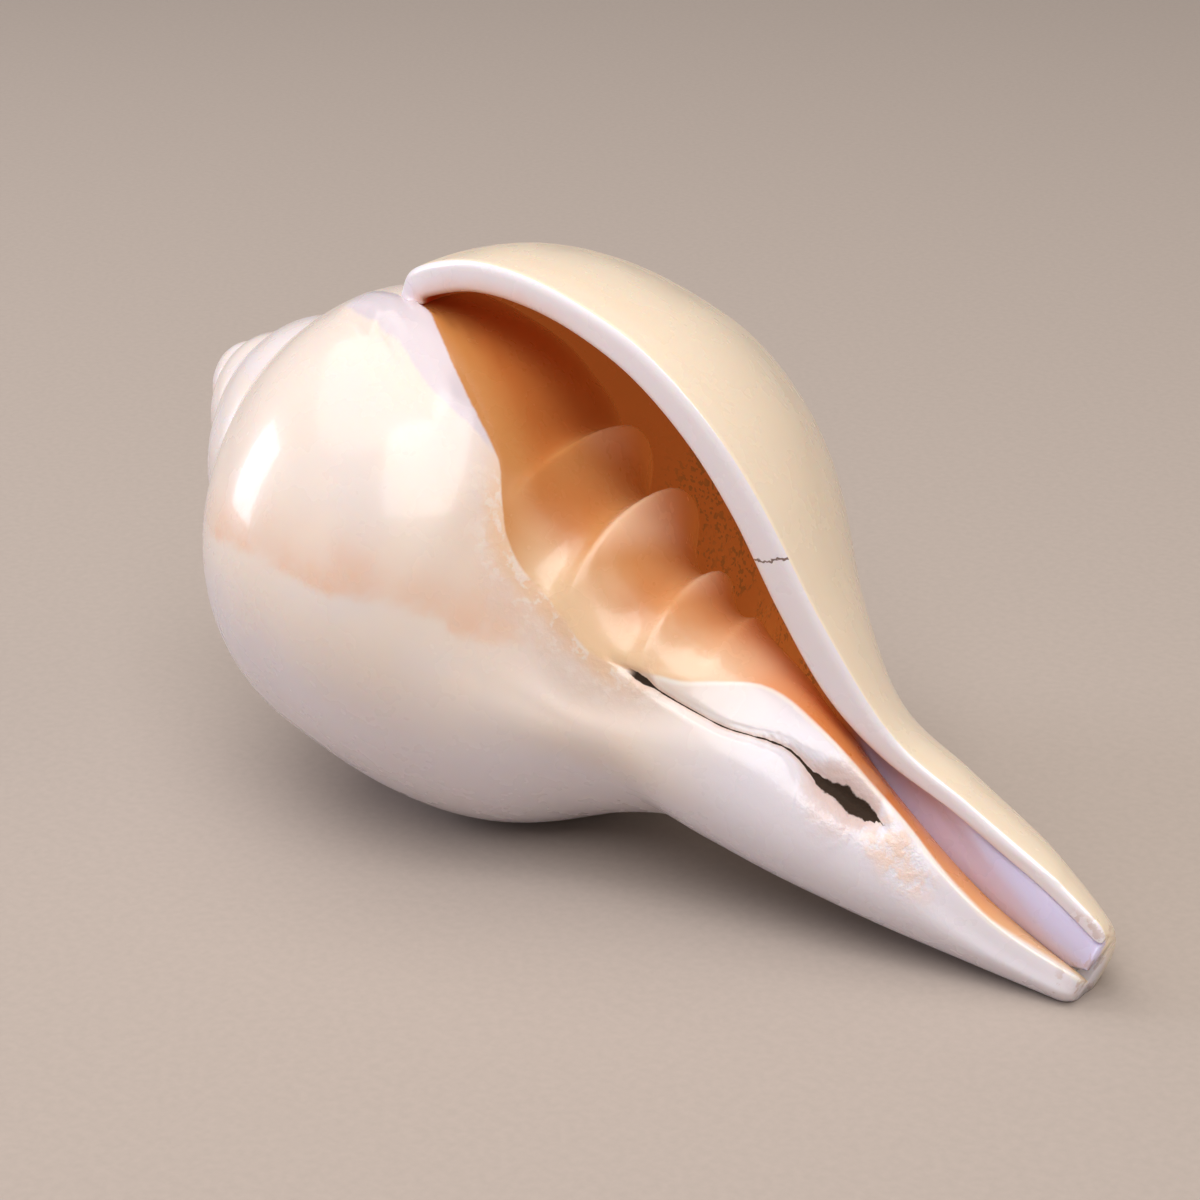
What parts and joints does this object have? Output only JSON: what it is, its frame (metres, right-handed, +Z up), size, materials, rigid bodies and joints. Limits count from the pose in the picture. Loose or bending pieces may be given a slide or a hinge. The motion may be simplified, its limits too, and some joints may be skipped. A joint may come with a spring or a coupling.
{
  "type": "polished chank seashell",
  "caption": "Polished white chank seashell with a short stepped spire, a big round body, a long siphonal canal and a wide orange-brown mouth with folds on its inner wall",
  "frame": {"origin": "centre of the shell's bounding box on the surface it lies on, so z = 0 is that surface", "axes": "+X runs along the shell toward the tip of its canal, the spire is at -X; +Z is up, toward the outer lip; the mouth opens toward -Y"},
  "size_m": [0.142, 0.0728, 0.0778],
  "materials": {
    "shell": "polished shell, cream white with peach bands outside and orange brown inside the mouth"
  },
  "bodies": {
    "root": {"shell": "shell"}
  },
  "joints": []
}
